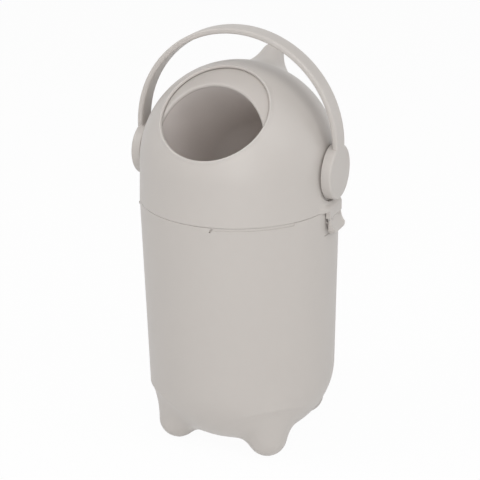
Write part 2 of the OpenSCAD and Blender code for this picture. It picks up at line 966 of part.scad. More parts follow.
bucket();
foot_pad(225);  // foot_pad_front_left
foot_pad(315);  // foot_pad_front_right
foot_pad(135);  // foot_pad_back_left
foot_pad(45);  // foot_pad_back_right
bag_ring();
lid_dome();
mouth_seal();
inner_collar();
collar_seal();
rim_gasket();
collar_screws();
ball_front();
nappy_cup();
ball_back();
handle();
color(pin_white) mirror([1, 0, 0]) pivot_bush();  // pivot_bush_left
color(pin_white) pivot_bush();  // pivot_bush_right
mirror([1, 0, 0]) retaining_clip();  // retaining_clip_left
retaining_clip();  // retaining_clip_right
mirror([1, 0, 0]) clip();  // clip_left
clip();  // clip_right
mirror([1, 0, 0]) clip_pin();  // clip_pin_left
clip_pin();  // clip_pin_right
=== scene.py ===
"""Nappy bin: a footed bucket, a domed lid with a rolled mouth, and a ball that the arched handle turns."""

import math

import bmesh
import bpy
import numpy as np
from bpy.props import FloatProperty, FloatVectorProperty, PointerProperty
from mathutils import Matrix, Vector


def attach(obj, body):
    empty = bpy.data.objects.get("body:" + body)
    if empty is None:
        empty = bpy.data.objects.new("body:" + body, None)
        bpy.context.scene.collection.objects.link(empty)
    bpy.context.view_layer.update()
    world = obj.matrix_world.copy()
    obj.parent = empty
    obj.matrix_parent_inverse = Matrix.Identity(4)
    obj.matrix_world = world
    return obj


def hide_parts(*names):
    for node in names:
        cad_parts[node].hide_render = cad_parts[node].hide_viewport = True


bl_info = {
    "name": "Nappy Bin",
    "version": (1, 0, 0),
    "blender": (4, 5, 0),
    "location": "View3D > Sidebar > Nappy Bin",
    "description": "Dresses the packed nappy bin: bucket, lid, ball, handle and side clips",
    "category": "Add Mesh",
}

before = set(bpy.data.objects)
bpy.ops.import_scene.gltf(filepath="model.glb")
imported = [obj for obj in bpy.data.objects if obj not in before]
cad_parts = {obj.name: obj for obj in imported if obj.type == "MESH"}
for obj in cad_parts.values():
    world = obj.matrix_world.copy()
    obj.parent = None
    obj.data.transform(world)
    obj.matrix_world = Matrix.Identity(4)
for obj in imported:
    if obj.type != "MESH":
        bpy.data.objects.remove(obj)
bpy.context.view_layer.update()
MM = 0.001
X_AXIS = Vector((1, 0, 0))
Z_AXIS = Vector((0, 0, 1))


# ---- sizes and colours ----


def length(name, description, default):
    return FloatProperty(
        name=name, description=description, default=default * MM, unit="LENGTH", precision=4
    )


def angle(name, description, default):
    return FloatProperty(
        name=name, description=description, default=math.radians(default), unit="ROTATION"
    )


def colour(name, description, default):
    return FloatVectorProperty(
        name=name, description=description, default=default, subtype="COLOR", min=0, max=1
    )


class NappyBinSizes(bpy.types.PropertyGroup):
    rim: length("Rim radius", "Outer radius of the bucket at its rim", 130)
    rim_z: length("Rim height", "Height of the rim above the floor", 337.4)
    wall: length("Wall", "Wall thickness of the bucket and the lid", 3)
    corner: length("Corner radius", "Rounding between the bucket's side and base", 96)
    base_z: length("Base height", "Height of the base above the floor", 6.2)
    foot_reach: length("Foot reach", "Distance of each foot's tip from the axis", 92.8)
    foot_tip: length("Foot tip", "Radius of the rounded foot tip", 26.5)
    foot_flare: length("Foot flare", "Radius of the concave flare above a foot", 20)
    foot_soft: length("Foot blend", "How softly a foot runs into the base", 21)
    axle_z: length("Axle height", "Height of the handle's axle above the floor", 385)
    dome: length("Dome radius", "Outer radius of the lid's dome", 128)
    opening: length("Opening radius", "Radius of the ring on which the opening's edge is rolled", 71.3)
    lip: length("Lip radius", "Radius of the opening's rolled edge", 2)
    horn: length("Horn reach", "Distance of the horn's tip from the axle", 172)
    ball: length("Ball radius", "Outer radius of the turning ball", 124)
    mouth: length("Mouth radius", "Radius of the ring on which the ball's mouth is rolled", 74)
    mouth_lip: length("Mouth lip", "Radius of the mouth's rolled edge", 3)
    arch_top: length("Arch height", "Height of the arch above the axle", 173.9)
    band: length("Band thickness", "Thickness of the handle's band", 7.5)
    band_width: length("Band width", "Width of the handle's band", 26.5)
    hub: length("Hub radius", "Radius of the hub discs", 35)
    clip_width: length("Clip width", "Width of each side clip", 37.6)
    opening_tilt: angle("Opening tilt", "Elevation of the opening's axis", 49.4)
    mouth_tilt: angle("Mouth tilt", "Elevation of the mouth's axis with the handle upright", 28.7)
    horn_tilt: angle("Horn tilt", "Elevation of the horn's axis at the back", 45.3)


class NappyBinColours(bpy.types.PropertyGroup):
    shell: colour("Shell", "Moulded plastic of the bucket, lid and handle", (0.545, 0.510, 0.480))
    inner: colour("Inner shell", "Moulded plastic of the ball", (0.520, 0.482, 0.452))
    # Painted light: the cup's paler colour stands in for the light that reaches into the cup.
    cup: colour("Cup", "Paler plastic of the cup inside the ball", (0.730, 0.680, 0.650))
    seal: colour("Seal", "Soft seals and foot pads", (0.150, 0.142, 0.135))
    steel: colour("Steel", "Pins, screws and retaining clips", (0.350, 0.355, 0.370))
    bush: colour("Bush", "Low-friction bushes", (0.700, 0.700, 0.680))
    floor: colour("Floor", "Studio floor and backdrop", (0.900, 0.900, 0.900))


def sizes():
    return bpy.context.scene.nappy_bin_sizes


def colours():
    return bpy.context.scene.nappy_bin_colours


# ---- shader maths ----


class Wire:
    """A socket on which arithmetic adds Math nodes."""

    def __init__(self, graph, socket):
        self.graph, self.socket = graph, socket

    def maths(self, operation, *values):
        return self.graph.node(
            "ShaderNodeMath", {"operation": operation}, dict(enumerate(values))
        )

    def __add__(self, other):
        return self.maths("ADD", self, other)

    def __radd__(self, other):
        return self.maths("ADD", other, self)

    def __mul__(self, other):
        return self.maths("MULTIPLY", self, other)

    def __rmul__(self, other):
        return self.maths("MULTIPLY", other, self)


class Graph:
    """The nodes of one material or world."""

    def __init__(self, owner):
        owner.use_nodes = True
        self.tree = owner.node_tree
        self.tree.nodes.clear()

    def node(self, kind, settings=None, sockets=None, output=0):
        """Adds a node, sets its settings, then its sockets, and returns one output as a Wire."""
        made = self.tree.nodes.new(kind)
        for key, value in (settings or {}).items():
            setattr(made, key, value)
        for key, value in (sockets or {}).items():
            if isinstance(value, Wire):
                self.tree.links.new(value.socket, made.inputs[key])
            else:
                made.inputs[key].default_value = value
        return Wire(self, made.outputs[output]) if made.outputs else None

    def place(self, stretch=(1, 1, 1)):
        """Object coordinates, in metres, stretched by a Mapping node."""
        here = self.node("ShaderNodeTexCoord", output=3)
        return self.node("ShaderNodeMapping", sockets={"Vector": here, "Scale": stretch})

    def noise(self, where, scale, detail, roughness):
        """Soft noise, its scale in cells to a metre."""
        return self.node(
            "ShaderNodeTexNoise",
            sockets={"Vector": where, "Scale": scale, "Detail": detail, "Roughness": roughness},
        )

    def tint(self, share, low, high):
        """A colour between two others."""
        return self.node(
            "ShaderNodeMix",
            {"data_type": "RGBA", "clamp_factor": True},
            {0: share, 6: (*low, 1), 7: (*high, 1)},
            output=2,
        )

    def bump(self, height, depth):
        """A normal from a height map, its depth in metres."""
        return self.node("ShaderNodeBump", sockets={"Height": height, "Distance": depth})

    def finish(self, sockets):
        """The shader and the output at the end of a material."""
        surface = self.node("ShaderNodeBsdfPrincipled", sockets=sockets)
        self.node("ShaderNodeOutputMaterial", sockets={"Surface": surface})


def new_graph(name):
    """An empty material of this name and its graph."""
    material = bpy.data.materials.get(name) or bpy.data.materials.new(name)
    return material, Graph(material)


def shade(base, factor):
    return tuple(min(1.0, c * factor) for c in base)


SPARK_GRAIN = 0.04 * MM
RUBBER_GRAIN = 0.04 * MM
TOOL_MARKS = 0.02 * MM


def moulded_plastic(name, base, roughness=0.42):
    """Satin polypropylene: slow flow marks in colour and gloss over a fine spark-eroded grain."""
    material, g = new_graph(name)
    here = g.place()
    flow = g.noise(g.place((1, 1, 0.35)), 9.0, 2.0, 0.45)
    mottle = g.noise(here, 70.0, 3.0, 0.55)
    sparks = g.noise(here, 1400.0, 3.0, 0.6)
    handling = g.noise(here, 22.0, 4.0, 0.6)
    scuffs = g.node(
        "ShaderNodeMapRange",
        sockets={"Value": handling, "From Min": 0.56, "From Max": 0.72, "To Min": 0.0, "To Max": 1.0},
    )
    share = flow * 0.6 + mottle * 0.4
    g.finish(
        {
            "Base Color": g.tint(share, shade(base, 0.965), shade(base, 1.03)),
            "Roughness": roughness - 0.05 + mottle * 0.08 + scuffs * 0.05,
            "Specular IOR Level": 0.42,
            "Normal": g.bump(sparks * 0.8 + mottle * 0.6, SPARK_GRAIN),
        }
    )
    return material


def shell_plastic():
    """The plastic of the bucket, lid, handle and clips."""
    return moulded_plastic("shell_plastic", tuple(colours().shell))


def soft_rubber(name, base):
    """Matte elastomer with a faint bloom."""
    material, g = new_graph(name)
    here = g.place()
    bloom = g.noise(here, 160.0, 4.0, 0.6)
    grain = g.noise(here, 2600.0, 2.0, 0.5)
    g.finish(
        {
            "Base Color": g.tint(bloom, shade(base, 0.85), shade(base, 1.25)),
            "Roughness": 0.62 + bloom * 0.16,
            "Specular IOR Level": 0.35,
            "Normal": g.bump(grain, RUBBER_GRAIN),
        }
    )
    return material


def drawn_steel(name, base):
    """Bright steel wire and strip with fine drawing lines along Y."""
    material, g = new_graph(name)
    lines = g.noise(g.place((1, 0.03, 1)), 5200.0, 2.0, 0.5)
    smear = g.noise(g.place(), 240.0, 3.0, 0.5)
    g.finish(
        {
            "Base Color": g.tint(smear, shade(base, 0.9), shade(base, 1.1)),
            "Metallic": 1.0,
            "Roughness": 0.24 + lines * 0.16,
            "Normal": g.bump(lines, TOOL_MARKS),
        }
    )
    return material


def bearing_plastic(name, base):
    """Waxy acetal with faint turning marks about the axle."""
    material, g = new_graph(name)
    here = g.place()
    wax = g.noise(here, 120.0, 3.0, 0.5)
    rings = g.noise(g.place((1, 0.05, 0.05)), 3000.0, 1.0, 0.5)
    g.finish(
        {
            "Base Color": g.tint(wax, shade(base, 0.95), shade(base, 1.04)),
            "Roughness": 0.30 + wax * 0.1,
            "Normal": g.bump(rings, TOOL_MARKS),
        }
    )
    return material


def give(obj, material):
    """Puts one material on every slot of a piece or a CAD node."""
    if not obj.material_slots:
        obj.data.materials.append(material)
    for slot in obj.material_slots:
        slot.material = material


# ---- modelling tools ----

WELD = 2e-6
ORIGIN = Vector()
Y_AXIS = Vector((0, 1, 0))


def rest():
    """Back to object mode with nothing selected."""
    if bpy.context.object and bpy.context.object.mode != "OBJECT":
        bpy.ops.object.mode_set(mode="OBJECT")
    bpy.ops.object.select_all(action="DESELECT")


def only(obj):
    """Selects one object alone and makes it the active one."""
    rest()
    obj.select_set(True)
    bpy.context.view_layer.objects.active = obj


def edit(obj, mode="VERT"):
    """Edit mode on one object, with nothing in it selected."""
    only(obj)
    bpy.ops.object.mode_set(mode="EDIT")
    bpy.ops.mesh.select_mode(type=mode)
    bpy.ops.mesh.select_all(action="DESELECT")


def pick(obj, test, kind="verts"):
    """In edit mode, selects just the vertices, edges or faces that pass a test of their middle."""
    mesh = bmesh.from_edit_mesh(obj.data)
    bpy.ops.mesh.select_all(action="DESELECT")
    for item in getattr(mesh, kind):
        if kind == "verts":
            keep = test(item.co)
        elif kind == "edges":
            keep = test((item.verts[0].co + item.verts[1].co) / 2)
        else:
            keep = test(item.calc_center_median())
        if keep:
            item.select_set(True)
    mesh.select_flush_mode()
    bmesh.update_edit_mesh(obj.data)


def trace(name, points):
    """A chain of edges through points, drawn from one vertex by extruding it."""
    rest()
    bpy.ops.mesh.primitive_plane_add(size=MM, location=points[0])
    obj = bpy.context.object
    obj.name = obj.data.name = name
    bpy.ops.object.transform_apply(location=True, rotation=True, scale=True)
    bpy.ops.object.mode_set(mode="EDIT")
    bpy.ops.mesh.select_mode(type="VERT")
    bpy.ops.mesh.select_all(action="SELECT")
    bpy.ops.mesh.merge(type="CENTER")
    for here, there in zip(points, points[1:]):
        bpy.ops.mesh.extrude_region_move(TRANSFORM_OT_translate={"value": there - here})
    return obj


def tidy(obj, gap=WELD):
    """In edit mode, merges doubles and turns the faces outwards."""
    bpy.ops.mesh.select_all(action="SELECT")
    bpy.ops.mesh.remove_doubles(threshold=gap)
    bpy.ops.mesh.normals_make_consistent(inside=False)
    rest()
    return obj


def lathe(name, outline, centre=ORIGIN, axis=Z_AXIS, radial=X_AXIS, steps=256):
    """Spins a half outline of (radius, height) pairs about an axis into a closed solid."""
    points = [centre + radial * r + axis * h for r, h in outline]
    obj = trace(name, points)
    if outline[0][0] > WELD:
        join_ends(obj)
    sweep(centre, axis, math.tau, steps)
    return tidy(obj)


def sweep(centre, axis, turn, steps):
    """In edit mode, spins everything about an axis, right-handed."""
    bpy.ops.mesh.select_all(action="SELECT")
    bpy.ops.mesh.spin(steps=steps, angle=-turn, center=centre, axis=axis)


def join_ends(obj):
    """In edit mode, closes a chain of edges into a loop."""
    mesh = bmesh.from_edit_mesh(obj.data)
    bpy.ops.mesh.select_all(action="DESELECT")
    for v in mesh.verts:
        if len(v.link_edges) == 1:
            v.select_set(True)
    mesh.select_flush_mode()
    bmesh.update_edit_mesh(obj.data)
    bpy.ops.mesh.edge_face_add()


def arc(cx, cy, radius, start, end, count):
    """Points on a circle, angles in degrees, both ends included."""
    turn = [math.radians(start + (end - start) * k / count) for k in range(count + 1)]
    return [(cx + radius * math.cos(t), cy + radius * math.sin(t)) for t in turn]


def sphere_arc(radius, start, end, count):
    """Points on a sphere's outline: angles in degrees from the lathe's own axis."""
    return [(r, h) for h, r in arc(0, 0, radius, start, end, count)]


def sector(name, outline, middle, half, steps=12):
    """A closed outline swept about Z through half an angle each side of a middle azimuth."""
    start = math.radians(middle - half)
    radial = Vector((math.cos(start), math.sin(start), 0))
    obj = trace(name, [radial * r + Z_AXIS * h for r, h in outline])
    join_ends(obj)
    sweep(ORIGIN, Z_AXIS, math.radians(2 * half), steps)
    return cap(obj)


def cap(obj):
    """In edit mode, closes whatever loops are still open and turns the faces outwards."""
    bpy.ops.mesh.select_all(action="SELECT")
    bpy.ops.mesh.remove_doubles(threshold=WELD)
    bpy.ops.mesh.select_all(action="DESELECT")
    bpy.ops.mesh.select_non_manifold(extend=False)
    bpy.ops.mesh.fill_holes(sides=0)
    return tidy(obj)


def prism(name, outline, low, high, steps=1):
    """A closed (x, z) outline extruded along Y from low to high."""
    obj = trace(name, [Vector((x, low, z)) for x, z in outline])
    join_ends(obj)
    bpy.ops.mesh.select_all(action="SELECT")
    for _ in range(steps):
        bpy.ops.mesh.extrude_region_move(
            TRANSFORM_OT_translate={"value": (0, (high - low) / steps, 0)}
        )
    return cap(obj)


def rod(name, radius, low, high, steps, centre, axis, radial):
    """A plain closed rod, used to cut and to join."""
    return lathe(name, [(0, low), (radius, low), (radius, high), (0, high)], centre, axis, radial, steps)


def combine(obj, other, operation):
    """Joins, cuts or keeps the common part of two closed solids, and uses the other one up."""
    only(obj)
    bpy.ops.object.modifier_add(type="BOOLEAN")
    step = obj.modifiers[-1]
    step.operation, step.object, step.solver = operation, other, "MANIFOLD"
    before = len(obj.data.vertices)
    bpy.ops.object.modifier_apply(modifier=step.name)
    if len(obj.data.vertices) == before:
        raise RuntimeError(f"{other.name} did nothing to {obj.name}")
    bpy.data.objects.remove(other)
    return obj


def refine(obj, test):
    """Cuts each face whose middle passes a test into nine."""
    edit(obj, "FACE")
    pick(obj, test, "faces")
    bpy.ops.mesh.subdivide(number_cuts=2)
    rest()


def join(*objs):
    """One object of several, the first one's name kept."""
    rest()
    for obj in objs:
        obj.select_set(True)
    bpy.context.view_layer.objects.active = objs[0]
    bpy.ops.object.join()
    return objs[0]


def mirrored(obj, name):
    """A copy with its own mesh, mirrored across the middle plane."""
    only(obj)
    bpy.ops.object.duplicate()
    twin = bpy.context.object
    twin.name = twin.data.name = name
    edit(twin)
    bpy.ops.mesh.select_all(action="SELECT")
    bpy.ops.transform.resize(value=(-1, 1, 1), center_override=(0, 0, 0))
    bpy.ops.mesh.flip_normals()
    rest()
    return twin


def bend(obj, rule):
    """Moves every vertex by a rule on an array of their places."""
    rest()
    flat = np.empty(len(obj.data.vertices) * 3)
    obj.data.vertices.foreach_get("co", flat)
    obj.data.vertices.foreach_set("co", rule(flat.reshape(-1, 3)).ravel())
    obj.data.update()
    return obj


def dress(obj, body, slot_name, material, *nodes, soft=35):
    """Smooth shading, material, body and the CAD nodes that a finished piece stands for; the slot name is
    not used.
    """
    only(obj)
    bpy.ops.object.shade_smooth_by_angle(angle=math.radians(soft))
    give(obj, material)
    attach(obj, body)
    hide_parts(*nodes)
    rest()


def smooth_min(a, b, k):
    """The smaller of two depths, blended with no break in curvature where they come close."""
    h = np.maximum(k - np.abs(a - b), 0) / k
    return np.minimum(a, b) - h**3 * k / 6


# ---- bucket ----

DRAFT = math.radians(1)
RIM_EDGE = 0.7 * MM
FOOT_TURNS = (45, 135, 225, 315)
FOOT_CONE = math.radians(23)
FOOT_LEAN = math.radians(24.5)
FLARE_END = math.radians(70)
CONE_TOP = 25.8 * MM
FOOT_WALL = 4.6 * MM
FOOT_FLAT = 1.4 * MM
FOOT_STAR = np.array((0, 0, 230)) * MM
FEET_BELOW = 200 * MM
PAD_SEAT = 8.05 * MM
PAD_SEAT_TOP = 2.8 * MM
CLIP_TURNS = (0, 180)
RECESS_DEPTH = 1.3 * MM
RECESS_DROP = 33.2 * MM
RECESS_HALF_TURN = 9.6
KEEPER_FOOT = 18.7 * MM
KEEPER_HEAD = 16.0 * MM
KEEPER_PROUD = 0.6 * MM
KEEPER_EDGE = 0.4 * MM
KEEPER_HALF_TURN = 6.6
PRY_DEPTH = 0.9 * MM
PRY_DROP = 3.4 * MM
PRY_START = 8.8
PRY_END = 56.0
NOTCH_LEAN = 30
NOTCH_HALF_WIDTH = 1.1 * MM
NOTCH_HALF_LENGTH = 3.2 * MM
NOTCH_DEPTH = 2.6 * MM
RIB_COUNT = 8
RIB_DROP = 36.2 * MM
RIB_LENGTH = 34 * MM
RIB_DEPTH = 4.6 * MM
RIB_HALF = 1.5 * MM


def corner_centre(s):
    """The middle of the rounding between side and base, as (radius, height)."""
    z = s.base_z + s.corner
    return s.rim - (s.rim_z - z) * math.tan(DRAFT) - s.corner / math.cos(DRAFT), z


def tub_depth(p, inset):
    """Distance outside the tub's wall, negative inside."""
    s = sizes()
    cx, cz = corner_centre(s)
    out, up = np.hypot(p[:, 0], p[:, 1]) - cx, p[:, 2] - cz
    low = np.hypot(np.maximum(out, 0), up)
    high = out * math.cos(DRAFT) - up * math.sin(DRAFT)
    return np.where(up < 0, low, high) - (s.corner - inset)


def foot_depth(p, inset):
    """Distance outside the nearest foot: a round tip, a cone, and a concave flare to the base."""
    s = sizes()
    sin, cos = math.sin(FOOT_CONE), math.cos(FOOT_CONE)
    tip, flare = s.foot_tip - inset, s.foot_flare + inset
    high = CONE_TOP + inset * sin
    high_r = tip * cos + (high + tip * sin) * math.tan(FOOT_CONE)
    flare_r, flare_h = high_r + flare * cos, high - flare * sin
    end_r, end_h = flare_r - flare * math.cos(FLARE_END), flare_h + flare * math.sin(FLARE_END)
    nearest = np.full(len(p), 1.0)
    for a in map(math.radians, FOOT_TURNS):
        q = p - np.array((s.foot_reach * math.cos(a), s.foot_reach * math.sin(a), s.foot_tip))
        lean = math.sin(FOOT_LEAN)
        axis = np.array((-lean * math.cos(a), -lean * math.sin(a), math.cos(FOOT_LEAN)))
        h = q @ axis
        r = np.linalg.norm(q - h[:, None] * axis, axis=1)
        along = r * sin + h * cos
        depth = np.where(along < 0, np.hypot(r, h), r * cos - h * sin) - tip
        bell = np.where(h < end_h, flare - np.hypot(r - flare_r, h - flare_h), r - end_r)
        bell = np.where(r > end_r, np.hypot(r - end_r, np.maximum(end_h - h, 0)), bell)
        depth = np.where(along > high_r * sin + high * cos, bell, depth)
        nearest = np.minimum(nearest, depth)
    return nearest


def grow_feet(p, inset, foot_inset):
    """Pushes the tub's lower wall out, away from a point high on its axis, into the four feet."""
    s = sizes()
    out = p - FOOT_STAR
    far = np.linalg.norm(out, axis=1)
    ray = out / far[:, None]

    def outside(t):
        q = FOOT_STAR + ray * t[:, None]
        return smooth_min(tub_depth(q, inset), foot_depth(q, foot_inset), s.foot_soft)

    low, high = far - 0.5 * MM, far + 90 * MM
    for _ in range(26):
        middle = (low + high) / 2
        solid = outside(middle) < 0
        low, high = np.where(solid, middle, low), np.where(solid, high, middle)
    return FOOT_STAR + ray * np.maximum(low, far)[:, None]


def draw_feet(p):
    """The rule that draws the tub's lower wall, inside and out, down into the feet."""
    s = sizes()
    inside = tub_depth(p, 0) < -s.wall / 2
    low = p[:, 2] < FEET_BELOW
    made = p.copy()
    skin, lining = low & ~inside, low & inside
    made[skin] = grow_feet(p[skin], 0, 0)
    made[lining] = grow_feet(p[lining], s.wall, FOOT_WALL)
    flat = skin & (made[:, 2] < FOOT_FLAT)
    made[flat, 2] = FOOT_FLAT
    return made


def inner_rim(s):
    """The rim's inner radius."""
    return s.rim - s.wall / math.cos(DRAFT)


def tub_outline():
    """The bucket's half section: base, rounded corner, drafted side, rim, and back inside."""
    s = sizes()
    cx, cz = corner_centre(s)
    lining, inner, top = s.corner - s.wall, inner_rim(s), s.rim_z - RIM_EDGE

    def side(r, z):
        return (r - (s.rim_z - z) * math.tan(DRAFT), z)

    outline = [(cx * k / 8, s.base_z) for k in range(8)]
    outline += arc(cx, cz, s.corner, -90, -1, 92)
    start = outline[-1][1]
    outline += [side(s.rim, start + (top - start) * k / 22) for k in range(1, 23)]
    outline += arc(s.rim - RIM_EDGE, top, RIM_EDGE, 15, 90, 4)
    outline += arc(inner + RIM_EDGE, top, RIM_EDGE, 90, 165, 4)
    start = cz - lining * math.sin(DRAFT)
    outline += [side(inner, top - (top - start) * k / 10) for k in range(10)]
    outline += arc(cx, cz, lining, -1, -90, 54)
    return outline + [(cx * (1 - k / 6), s.base_z + s.wall) for k in range(1, 7)]


def pad_seat(azimuth):
    """Cutter for the round seat of a foot pad."""
    s = sizes()
    a = math.radians(azimuth)
    tip = Vector((s.foot_reach * math.cos(a), s.foot_reach * math.sin(a), 0))
    return rod("pad_seat", PAD_SEAT, -MM, PAD_SEAT_TOP, 48, tip, Z_AXIS, X_AXIS)


def clip_recess(azimuth):
    """Cutter for the sunk panel behind a side clip, its floor sloping out at the bottom."""
    s = sizes()
    floor, out, top = s.rim - RECESS_DEPTH, s.rim + 6 * MM, s.rim_z + 5 * MM
    low = s.rim_z - RECESS_DROP
    outline = [(floor, low), (out, low - 2.3 * MM), (out, top), (floor, top)]
    return sector("clip_recess", outline, azimuth, RECESS_HALF_TURN)


def keeper(azimuth):
    """The ledge that a side clip holds on to."""
    s = sizes()
    low, high = s.rim_z - KEEPER_FOOT, s.rim_z - KEEPER_HEAD
    back, nose = s.rim - 2.2 * MM, s.rim + KEEPER_PROUD
    outline = [(back, low), (nose, low), (nose, high - KEEPER_EDGE)]
    outline += [(nose - KEEPER_EDGE, high), (back, high)]
    return sector("keeper", outline, azimuth, KEEPER_HALF_TURN)


def pry_step():
    """Cutter for the shallow step under the lid's edge, to the right of the front."""
    s = sizes()
    floor, out, top = s.rim - PRY_DEPTH, s.rim + 2 * MM, s.rim_z + 2 * MM
    low = s.rim_z - PRY_DROP
    outline = [(floor, low), (out, low - 0.3 * MM), (out, top), (floor, top)]
    middle, half = (PRY_START + PRY_END) / 2, (PRY_END - PRY_START) / 2
    return sector("pry_step", outline, middle - 90, half, 48)


def pry_notch():
    """Cutter for the short slanted notch at the step's left end."""
    s = sizes()
    half, long = NOTCH_HALF_WIDTH, NOTCH_HALF_LENGTH
    corners = [(-half, -long), (half, -long), (half, long), (-half, long)]
    notch = prism("pry_notch", corners, -NOTCH_DEPTH, NOTCH_DEPTH)
    notch.data.transform(
        Matrix.Rotation(math.radians(PRY_START), 4, "Z")
        @ Matrix.Translation((0, -s.rim, s.rim_z - PRY_DROP))
        @ Matrix.Rotation(math.radians(NOTCH_LEAN), 4, "Y")
    )
    return notch


def rib(azimuth):
    """One of the inside ribs that carry the bag ring."""
    s = sizes()
    wall = inner_rim(s) - 40 * MM * math.tan(DRAFT)
    top = s.rim_z - RIB_DROP
    outline = [(wall - RIB_DEPTH, top), (wall + 1.2 * MM, top), (wall + 0.6 * MM, top - RIB_LENGTH)]
    made = prism("rib", outline, -RIB_HALF, RIB_HALF)
    made.data.transform(Matrix.Rotation(math.radians(azimuth), 4, "Z"))
    return made


def bucket_piece():
    """The tub drawn down into its feet, cut for pads, clips and step, with keepers and ribs."""
    obj = lathe("bucket_shell", tub_outline(), steps=320)
    bend(obj, draw_feet)
    seats = [pad_seat(azimuth) for azimuth in FOOT_TURNS]
    recesses = [clip_recess(azimuth) for azimuth in CLIP_TURNS]
    combine(obj, join(*seats, *recesses, pry_step()), "DIFFERENCE")
    keepers = [keeper(azimuth) for azimuth in CLIP_TURNS]
    ribs = [rib((k + 0.5) * 360 / RIB_COUNT) for k in range(RIB_COUNT)]
    combine(obj, join(*keepers, *ribs), "UNION")
    return combine(obj, pry_notch(), "DIFFERENCE")


# ---- lid ----

SKIRT_SLOPE = 2 / 47.6
SKIRT_LOW = -47.3 * MM
SKIRT_EDGE = 1.6 * MM
LIP_BEAD = 0.5 * MM
LIP_SQUARE = 0.66
BEAD_SPREAD = 1.75
HORN_NECK = 12.4 * MM
HORN_FLARE = 68 * MM
HORN_SPREAD = math.radians(27)
SEAT = 28 * MM
SEAT_X = 126.4 * MM
POCKET = 38.4 * MM
POCKET_X = 125.5 * MM
BUSH_BORE = 13.1 * MM
BRACKET_X = 135.0 * MM
BRACKET_FOOT = 1.9 * MM
BRACKET_RISE = 8.4 * MM
BRACKET_REACH = 37 * MM
BRACKET_SHOULDER = 20 * MM
TAB_HALF = 21.2 * MM
PIN_OUT = 2.6 * MM
PIN_DROP = 59.2 * MM
KNUCKLE = 2 * MM
LUG_PLACES = (-11 * MM, 11 * MM)
LUG_HALF = 2 * MM
LUG_NECK = 1.5 * MM
CLIP_GAP = 0.3 * MM


def opening_axis():
    """The way the lid's opening faces."""
    tilt = sizes().opening_tilt
    return Vector((0, -math.cos(tilt), math.sin(tilt)))


def horn_axis():
    """The way the horn points."""
    tilt = sizes().horn_tilt
    return (0, math.cos(tilt), math.sin(tilt))


def axle():
    """The middle of the handle's axle, which is also the dome's and the ball's."""
    return Vector((0, 0, sizes().axle_z))


def pin_place():
    """The right clip's pin, as (x, z)."""
    s = sizes()
    return s.rim + PIN_OUT, s.axle_z - PIN_DROP


def lid_radius(u, inset):
    """How far the lid's skin lies from the axle's middle in each direction u."""
    s = sizes()
    base = s.dome - inset
    level = np.hypot(u[:, 0], u[:, 1])
    down = np.maximum(-u[:, 2], 0)
    skin = base / np.where(u[:, 2] < 0, np.maximum(level - SKIRT_SLOPE * down, 0.3), 1)
    side = HORN_NECK + HORN_FLARE
    rise = math.sqrt((s.dome + HORN_FLARE) ** 2 - side**2)
    past = rise - s.horn
    tip = (side**2 + past**2 - HORN_FLARE**2) / (2 * (HORN_FLARE - past))
    tip_at = s.horn - tip
    meet = math.atan2(
        tip * side / (HORN_FLARE + tip), tip_at + tip * (rise - tip_at) / (HORN_FLARE + tip)
    )
    reach = math.hypot(side, rise)
    lean = math.atan2(side, rise)
    off = np.arccos(np.clip(u @ np.array(horn_axis()), -1, 1))
    flare = HORN_FLARE + inset
    bell = lean - off
    inside = np.clip(flare**2 - (reach * np.sin(bell)) ** 2, 0, None)
    flare_skin = reach * np.cos(bell) - np.sqrt(inside)
    small = tip - inset
    tip_inside = np.clip(small**2 - (tip_at * np.sin(off)) ** 2, 0, None)
    tip_skin = tip_at * np.cos(off) + np.sqrt(tip_inside)
    horn_skin = np.where(off < meet, tip_skin, flare_skin)
    return np.where(off < lean, np.maximum(skin, horn_skin), skin)


def bracket_share(y):
    """How much of the bracket's full depth stands at a distance from its middle."""
    across = np.clip((BRACKET_REACH - np.abs(y)) / BRACKET_SHOULDER, 0, 1)
    return across * across * (3 - 2 * across)


def swell_brackets(p, skin):
    """Lets the skirt swell softly into the two clip brackets."""
    made = p.copy()
    x, z = np.abs(p[:, 0]), p[:, 2] - sizes().axle_z
    high = np.clip((z - SKIRT_LOW - BRACKET_FOOT) / BRACKET_RISE, 0, 1)
    share = bracket_share(p[:, 1]) * (1 - high * high * (3 - 2 * high))
    near = skin & (high < 1) & (share > 0) & (x > 100 * MM)
    made[near, 0] = (np.sign(p[:, 0]) * (x + (BRACKET_X - x) * share))[near]
    return made


def lip_place(s):
    """Where the opening's rolled edge sits: along its axis, and its angle there in degrees."""
    along = math.sqrt((s.dome - s.wall / 2) ** 2 - s.opening**2)
    return along, math.degrees(math.atan2(s.opening, along))


def lid_outline():
    """Half section about the opening's axis: bead, rolled edge, lining, and the outside back."""
    s = sizes()
    along, angle = lip_place(s)
    outline = []
    for k in range(9):
        share = k / 8
        radius = s.dome + LIP_BEAD * (0.5 - 0.5 * math.cos(math.pi * share))
        turn = math.radians(angle + (1 - share) * BEAD_SPREAD)
        outline.append((radius * math.sin(turn), radius * math.cos(turn)))
    out = Vector((math.sin(math.radians(angle)), math.cos(math.radians(angle))))
    inwards = Vector((-out.y, out.x))
    for k in range(1, 19):
        c, n = math.cos(math.radians(k * 12)), math.sin(math.radians(k * 12))
        c, n = (math.copysign(abs(v) ** LIP_SQUARE, v) for v in (c, n))
        outline.append(tuple(Vector((s.opening, along)) + (out * c + inwards * n) * s.lip))
    outline += sphere_arc(s.dome - s.wall, angle + 1.6, 152, 44)
    return outline + sphere_arc(s.dome, 152, angle + 2.2, 84)


